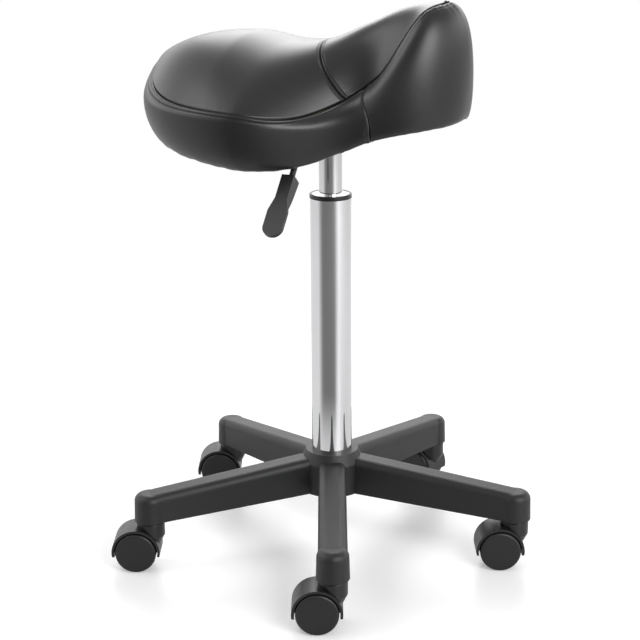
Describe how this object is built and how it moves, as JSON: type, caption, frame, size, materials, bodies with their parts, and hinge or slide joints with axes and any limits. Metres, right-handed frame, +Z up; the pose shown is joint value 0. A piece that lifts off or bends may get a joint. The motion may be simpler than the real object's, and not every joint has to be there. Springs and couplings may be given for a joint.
{
  "type": "saddle stool",
  "caption": "Height-adjustable saddle stool with a raised nose, stitched black seat, chromed gas column, release lever and castor star base.",
  "frame": {"origin": "on the floor, on the column's axis", "axes": "+Z up; the seat's raised nose points towards -Y, the lever towards -X"},
  "size_m": [0.513, 0.5064, 0.6834],
  "materials": {
    "base_plastic": "fine stippled black nylon",
    "castor_plastic": "satin black nylon",
    "wheel_plastic": "satin black, slightly worn tread",
    "bush_plastic": "smooth black",
    "handle_plastic": "satin dark grey",
    "column_chrome": "polished",
    "cap_chrome": "bright",
    "steel": "turned",
    "zinc_steel": "zinc plated",
    "mechanism_paint": "black powder coat",
    "bumper_rubber": "matte",
    "plywood": "bare plywood",
    "dust_fabric": "black non-woven",
    "foam": "open-cell foam",
    "vinyl": "soft black vinyl with a fine grain and stitched seams"
  },
  "bodies": {
    "base": {"star_base": "base_plastic", "stem_sleeves": "steel", "castor_stems": "steel", "column_tube": "column_chrome", "guide_bush": "bush_plastic", "bush_cap": "cap_chrome", "thrust_race_lower": "steel", "thrust_balls": "steel"},
    "piston_unit": {"thrust_race_upper": "steel", "piston_rod": "steel", "rod_clip": "steel", "rubber_bumper": "bumper_rubber", "piston": "steel", "piston_seal": "bumper_rubber"},
    "seat": {"gas_cylinder": "column_chrome", "cylinder_gland": "bush_plastic", "valve_block": "bush_plastic", "cone_socket": "mechanism_paint", "mount_plate": "mechanism_paint", "seat_bolts": "zinc_steel", "bolt_washers": "zinc_steel", "tee_nuts": "zinc_steel", "pivot_pin": "steel", "seat_board": "plywood", "dust_cover": "dust_fabric", "seat_foam": "foam", "seat_cover": "vinyl"},
    "lever": {"lever_rod": "mechanism_paint", "lever_handle": "handle_plastic"},
    "valve_pin": {"release_pin": "steel"},
    "castor_1": {"castor_housing_1": "castor_plastic", "castor_axle_1": "steel"},
    "wheel_1a": {"castor_wheel_1a": "wheel_plastic"},
    "wheel_1b": {"castor_wheel_1b": "wheel_plastic"},
    "castor_2": {"castor_housing_2": "castor_plastic", "castor_axle_2": "steel"},
    "wheel_2a": {"castor_wheel_2a": "wheel_plastic"},
    "wheel_2b": {"castor_wheel_2b": "wheel_plastic"},
    "castor_3": {"castor_housing_3": "castor_plastic", "castor_axle_3": "steel"},
    "wheel_3a": {"castor_wheel_3a": "wheel_plastic"},
    "wheel_3b": {"castor_wheel_3b": "wheel_plastic"},
    "castor_4": {"castor_housing_4": "castor_plastic", "castor_axle_4": "steel"},
    "wheel_4a": {"castor_wheel_4a": "wheel_plastic"},
    "wheel_4b": {"castor_wheel_4b": "wheel_plastic"},
    "castor_5": {"castor_housing_5": "castor_plastic", "castor_axle_5": "steel"},
    "wheel_5a": {"castor_wheel_5a": "wheel_plastic"},
    "wheel_5b": {"castor_wheel_5b": "wheel_plastic"}
  },
  "joints": [
    {"name": "seat_swivel", "type": "hinge", "parent": "base", "child": "piston_unit", "pos_m": [0, 0, 0.09], "axis": [0, 0, 1], "continuous": true},
    {"name": "gas_lift", "type": "slide", "parent": "piston_unit", "child": "seat", "axis": [0, 0, 1], "range_m": [-0.045, 0.15]},
    {"name": "lever_lift", "type": "hinge", "parent": "seat", "child": "lever", "pos_m": [-0.026, 0, 0.5323], "axis": [0, 1, 0], "range_deg": [0, 7], "stiffness_Nm_per_rad": 2, "springref_deg": -8.59},
    {"name": "valve_press", "type": "slide", "parent": "seat", "child": "valve_pin", "axis": [0, 0, -1], "range_m": [0, 0.0035]},
    {"name": "castor_swivel_1", "type": "hinge", "parent": "base", "child": "castor_1", "pos_m": [0.12103, 0.20143, 0.05], "axis": [0, 0, 1], "continuous": true},
    {"name": "wheel_spin_1a", "type": "hinge", "parent": "castor_1", "child": "wheel_1a", "pos_m": [0.114, 0.218, 0.025], "axis": [-0.9205, -0.3907, 0], "continuous": true},
    {"name": "wheel_spin_1b", "type": "hinge", "parent": "castor_1", "child": "wheel_1b", "pos_m": [0.114, 0.218, 0.025], "axis": [-0.9205, -0.3907, 0], "continuous": true},
    {"name": "castor_swivel_2", "type": "hinge", "parent": "base", "child": "castor_2", "pos_m": [-0.15417, 0.17736, 0.05], "axis": [0, 0, 1], "continuous": true},
    {"name": "wheel_spin_2a", "type": "hinge", "parent": "castor_2", "child": "wheel_2a", "pos_m": [-0.16121, 0.19393, 0.025], "axis": [-0.9205, -0.3907, 0], "continuous": true},
    {"name": "wheel_spin_2b", "type": "hinge", "parent": "castor_2", "child": "wheel_2b", "pos_m": [-0.16121, 0.19393, 0.025], "axis": [-0.9205, -0.3907, 0], "continuous": true},
    {"name": "castor_swivel_3", "type": "hinge", "parent": "base", "child": "castor_3", "pos_m": [-0.21632, -0.09182, 0.05], "axis": [0, 0, 1], "continuous": true},
    {"name": "wheel_spin_3a", "type": "hinge", "parent": "castor_3", "child": "wheel_3a", "pos_m": [-0.22335, -0.07525, 0.025], "axis": [-0.9205, -0.3907, 0], "continuous": true},
    {"name": "wheel_spin_3b", "type": "hinge", "parent": "castor_3", "child": "wheel_3b", "pos_m": [-0.22335, -0.07525, 0.025], "axis": [-0.9205, -0.3907, 0], "continuous": true},
    {"name": "castor_swivel_4", "type": "hinge", "parent": "base", "child": "castor_4", "pos_m": [0.02048, -0.23411, 0.05], "axis": [0, 0, 1], "continuous": true},
    {"name": "wheel_spin_4a", "type": "hinge", "parent": "castor_4", "child": "wheel_4a", "pos_m": [0.01345, -0.21754, 0.025], "axis": [-0.9205, -0.3907, 0], "continuous": true},
    {"name": "wheel_spin_4b", "type": "hinge", "parent": "castor_4", "child": "wheel_4b", "pos_m": [0.01345, -0.21754, 0.025], "axis": [-0.9205, -0.3907, 0], "continuous": true},
    {"name": "castor_swivel_5", "type": "hinge", "parent": "base", "child": "castor_5", "pos_m": [0.22898, -0.05286, 0.05], "axis": [0, 0, 1], "continuous": true},
    {"name": "wheel_spin_5a", "type": "hinge", "parent": "castor_5", "child": "wheel_5a", "pos_m": [0.23364, -0.03548, 0.025], "axis": [-0.9659, 0.2588, 0], "continuous": true},
    {"name": "wheel_spin_5b", "type": "hinge", "parent": "castor_5", "child": "wheel_5b", "pos_m": [0.23364, -0.03548, 0.025], "axis": [-0.9659, 0.2588, 0], "continuous": true}
  ],
  "couplings": [
    {"joint": "valve_press", "follows": "lever_lift", "m_per_rad": 0.026}
  ]
}
